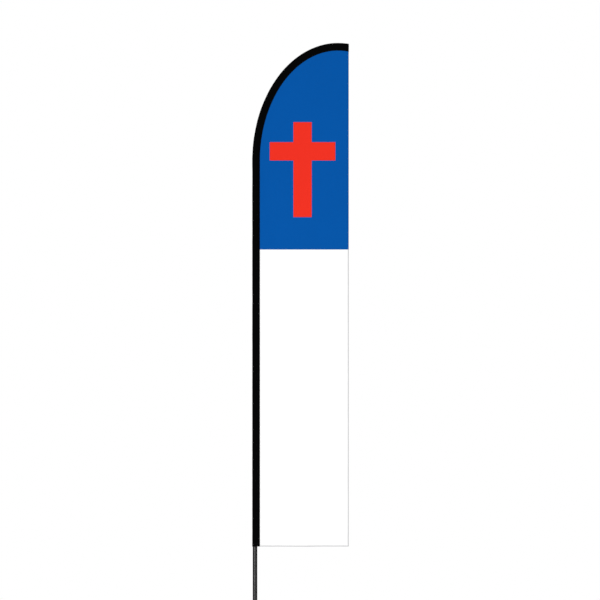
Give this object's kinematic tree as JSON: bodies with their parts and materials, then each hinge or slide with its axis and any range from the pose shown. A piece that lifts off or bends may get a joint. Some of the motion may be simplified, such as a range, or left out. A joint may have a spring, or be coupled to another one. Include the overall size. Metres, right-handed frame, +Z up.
{
  "type": "feather flag with pole",
  "caption": "Feather flag in blue and white with a red cross, sleeved on a curved-tip telescoping pole that turns on a spindle in a ground spike.",
  "frame": {"origin": "on the axis of the pole and the spindle, at ground level, where the spike leaves the underside of the foot plate", "axes": "+Z up along the pole; +X from the pole towards the flag's free edge; the front of the flag faces -Y"},
  "size_m": [0.6552, 0.09, 4.08],
  "materials": {
    "galvanised_steel": "zinc plated, dull",
    "bearing_steel": "ground and polished",
    "bright_steel": "turned, satin",
    "spring_steel": "blued, oiled",
    "cage_brass": "pressed",
    "black_rubber": "matte",
    "black_nylon": "moulded, fine grain",
    "black_pole": "black anodised and lacquered, glossy",
    "ferrule_alloy": "turned, satin",
    "black_fibreglass": "pultruded, semi-gloss",
    "black_cloth": "plain-weave polyester",
    "blue_cloth": "knitted polyester",
    "white_cloth": "knitted polyester",
    "red_cloth": "knitted polyester",
    "black_webbing": "woven webbing",
    "eyelet_brass": "pressed, bright"
  },
  "bodies": {
    "stake": {"ground_spike": "galvanised_steel", "foot_plate": "galvanised_steel", "bearing_housing": "galvanised_steel", "outer_races": "bearing_steel", "outer_spacer": "bearing_steel", "housing_circlip": "spring_steel", "dust_seal": "black_rubber"},
    "spindle": {"spindle_shaft": "bright_steel", "inner_races": "bearing_steel", "inner_spacer": "bearing_steel", "spindle_circlip": "spring_steel", "spindle_o_rings": "black_rubber"},
    "rolling_set": {"bearing_balls": "bearing_steel", "ball_cages": "cage_brass"},
    "flag_pole": {"foot_bush": "black_nylon", "guide_bush": "black_nylon", "lower_tube": "black_pole", "middle_tube": "black_pole", "upper_tube": "black_pole", "stop_pins": "bright_steel", "joint_collars": "black_nylon", "rod_ferrules": "ferrule_alloy", "tip_rod": "black_fibreglass", "tip_cap": "black_rubber", "pole_sleeve": "black_cloth", "sleeve_end_patch": "black_cloth", "blue_panel": "blue_cloth", "white_panel": "white_cloth", "cross_front": "red_cloth", "cross_back": "red_cloth", "tension_tab": "black_webbing", "tab_grommet": "eyelet_brass", "button_spring": "spring_steel"},
    "tab_button": {"snap_button": "bright_steel"}
  },
  "joints": [
    {"name": "spindle_spin", "type": "hinge", "parent": "stake", "child": "spindle", "pos_m": [0, 0, 0.02], "axis": [0, 0, 1], "continuous": true},
    {"name": "ball_orbit", "type": "hinge", "parent": "stake", "child": "rolling_set", "pos_m": [0, 0, 0.02], "axis": [0, 0, 1], "continuous": true},
    {"name": "pole_lift", "type": "slide", "parent": "spindle", "child": "flag_pole", "axis": [0, 0, 1], "range_m": [0, 0.25]},
    {"name": "button_press", "type": "slide", "parent": "flag_pole", "child": "tab_button", "axis": [0, -1, 0], "range_m": [0, 0.006], "stiffness_N_per_m": 600, "springref_m": -0.004, "deforming": ["button_spring"]}
  ],
  "couplings": [
    {"joint": "ball_orbit", "follows": "spindle_spin", "ratio": 0.381}
  ]
}
